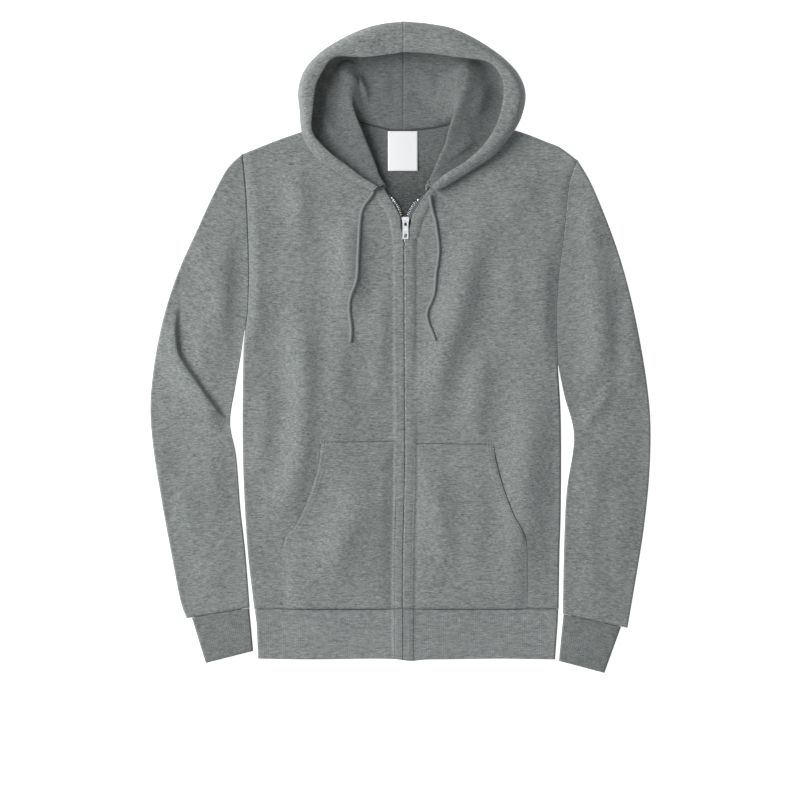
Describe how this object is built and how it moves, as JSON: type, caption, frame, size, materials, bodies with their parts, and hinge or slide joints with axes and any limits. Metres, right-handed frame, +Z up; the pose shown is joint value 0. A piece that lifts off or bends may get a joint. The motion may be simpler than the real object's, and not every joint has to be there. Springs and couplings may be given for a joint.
{
  "type": "zip-up hooded sweatshirt",
  "caption": "Zip-up fleece hoodie laid flat on its back, hood spread open, zip open at the neck, with pouch pockets, rib cuffs and waistband, drawcord ends and a hinged pull tab.",
  "frame": {"origin": "under the back panel, on the zip line at underarm level, on the surface that the garment lies on", "axes": "+Y towards the hood, +X to the wearer's left (to the right seen from above), +Z up from the surface"},
  "size_m": [0.6803, 0.8861, 0.0408],
  "materials": {
    "fleece": "grey heather brushed fleece, matt, with a fine mottle",
    "rib": "grey heather rib knit, matt",
    "drawcord": "grey braided flat cotton cord, matt",
    "zip_tape": "blue-grey woven tape, matt",
    "zip_metal": "bright silver-coloured metal",
    "label": "white woven satin, bare"
  },
  "bodies": {
    "garment": {"back_panel": "fleece", "front_right": "fleece", "front_left": "fleece", "sleeve_right": "fleece", "sleeve_left": "fleece", "cuff_right": "rib", "cuff_left": "rib", "waistband": "rib", "pocket_right": "fleece", "pocket_left": "fleece", "hood_right": "fleece", "hood_left": "fleece", "zip_tape_right": "zip_tape", "zip_tape_left": "zip_tape", "zip_slider": "zip_metal", "drawcord_right": "drawcord", "drawcord_left": "drawcord", "neck_label": "label"},
    "pull": {"zip_pull": "zip_metal"}
  },
  "joints": [
    {"name": "pull_hinge", "type": "hinge", "parent": "garment", "child": "pull", "pos_m": [0.00135, 0.1691, 0.00775], "axis": [-1, 0, 0], "range_deg": [0, 150]}
  ]
}
